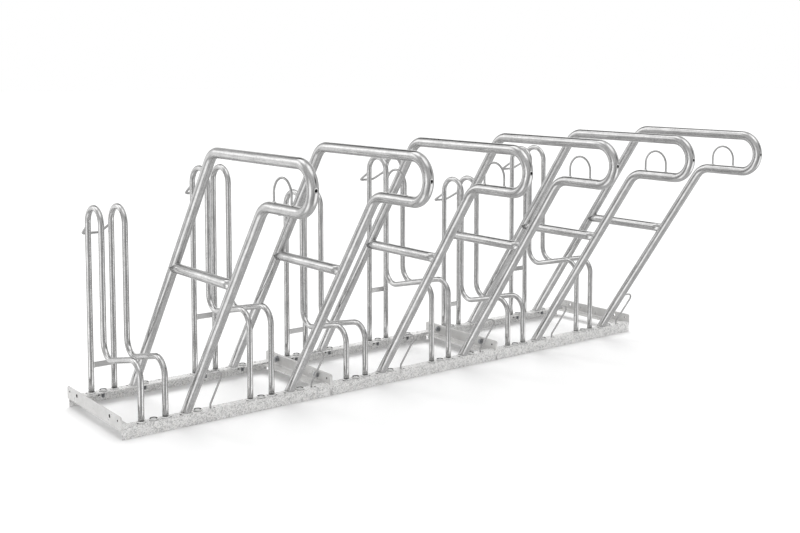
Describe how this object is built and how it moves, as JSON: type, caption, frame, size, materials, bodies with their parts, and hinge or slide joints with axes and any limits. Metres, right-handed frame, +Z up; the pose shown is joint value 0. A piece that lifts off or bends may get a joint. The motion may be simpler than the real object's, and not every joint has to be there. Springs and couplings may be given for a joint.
{
  "type": "two tier bike rack",
  "caption": "Floor-standing bicycle rack of galvanised steel: low and tall wheel holders in turn, leaning locking hoops, and bolted angle-iron base modules.",
  "frame": {"origin": "on the ground, under the middle of the bounding box", "axes": "+X along the rack, left to right for someone who rolls a wheel in; +Y from the front, where wheels go in, to the back; +Z up"},
  "size_m": [2.0996, 1.1142, 0.814],
  "materials": {
    "galvanised_tube": "hot-dip galvanised, fairly smooth and shiny",
    "galvanised_rod": "hot-dip galvanised",
    "galvanised_angle": "hot-dip galvanised, matt with a mottled spangle",
    "zinc_plated_bolt": "zinc plated"
  },
  "bodies": {
    "root": {"module_1_front_rail": "galvanised_angle", "module_1_back_rail": "galvanised_angle", "module_1_left_end_angle": "galvanised_angle", "module_1_right_end_angle": "galvanised_angle", "module_2_front_rail": "galvanised_angle", "module_2_back_rail": "galvanised_angle", "module_2_left_end_angle": "galvanised_angle", "module_2_right_end_angle": "galvanised_angle", "module_3_front_rail": "galvanised_angle", "module_3_back_rail": "galvanised_angle", "module_3_left_end_angle": "galvanised_angle", "module_3_right_end_angle": "galvanised_angle", "holder_1_left_tube": "galvanised_tube", "holder_1_right_tube": "galvanised_tube", "holder_1_lock_rod": "galvanised_rod", "hoop_1_tube": "galvanised_tube", "hoop_1_crossbar": "galvanised_tube", "hoop_1_eye": "galvanised_rod", "hoop_1_foot_rod": "galvanised_rod", "holder_2_left_tube": "galvanised_tube", "holder_2_right_tube": "galvanised_tube", "holder_2_lock_rod": "galvanised_rod", "hoop_2_tube": "galvanised_tube", "hoop_2_crossbar": "galvanised_tube", "hoop_2_eye": "galvanised_rod", "hoop_2_foot_rod": "galvanised_rod", "holder_3_left_tube": "galvanised_tube", "holder_3_right_tube": "galvanised_tube", "holder_3_lock_rod": "galvanised_rod", "hoop_3_tube": "galvanised_tube", "hoop_3_crossbar": "galvanised_tube", "hoop_3_eye": "galvanised_rod", "hoop_3_foot_rod": "galvanised_rod", "holder_4_left_tube": "galvanised_tube", "holder_4_right_tube": "galvanised_tube", "holder_4_lock_rod": "galvanised_rod", "hoop_4_tube": "galvanised_tube", "hoop_4_crossbar": "galvanised_tube", "hoop_4_eye": "galvanised_rod", "hoop_4_foot_rod": "galvanised_rod", "holder_5_left_tube": "galvanised_tube", "holder_5_right_tube": "galvanised_tube", "holder_5_lock_rod": "galvanised_rod", "hoop_5_tube": "galvanised_tube", "hoop_5_crossbar": "galvanised_tube", "hoop_5_eye": "galvanised_rod", "hoop_5_foot_rod": "galvanised_rod", "holder_6_left_tube": "galvanised_tube", "holder_6_right_tube": "galvanised_tube", "holder_6_lock_rod": "galvanised_rod", "hoop_6_tube": "galvanised_tube", "hoop_6_crossbar": "galvanised_tube", "hoop_6_eye": "galvanised_rod", "hoop_6_foot_rod": "galvanised_rod", "joint_1_front_bolt": "zinc_plated_bolt", "joint_1_back_bolt": "zinc_plated_bolt", "joint_2_front_bolt": "zinc_plated_bolt", "joint_2_back_bolt": "zinc_plated_bolt"}
  },
  "joints": []
}
